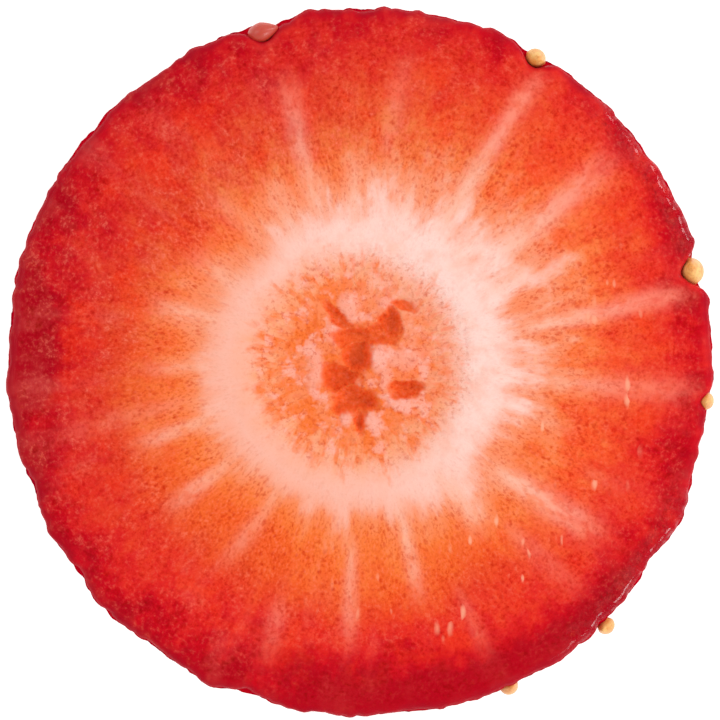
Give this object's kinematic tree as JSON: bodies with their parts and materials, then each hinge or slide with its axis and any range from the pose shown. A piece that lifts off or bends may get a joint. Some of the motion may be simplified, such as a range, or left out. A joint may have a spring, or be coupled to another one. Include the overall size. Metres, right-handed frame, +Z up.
{
  "type": "strawberry slice",
  "caption": "Round slice cut across a ripe strawberry, with dimpled skin and achenes round its rim, lying on its lower cut face.",
  "frame": {"origin": "middle of the lower cut face, on the surface that the slice lies on", "axes": "+Z up along the berry's axis towards its stalk, out of the upper cut face; +X and +Y across the slice, to the right and to the top of the picture"},
  "size_m": [0.0358, 0.0361, 0.0071],
  "materials": {
    "strawberry_flesh": "gloss",
    "achene": "satin"
  },
  "bodies": {
    "root": {"strawberry_slice": "strawberry_flesh"}
  },
  "joints": []
}
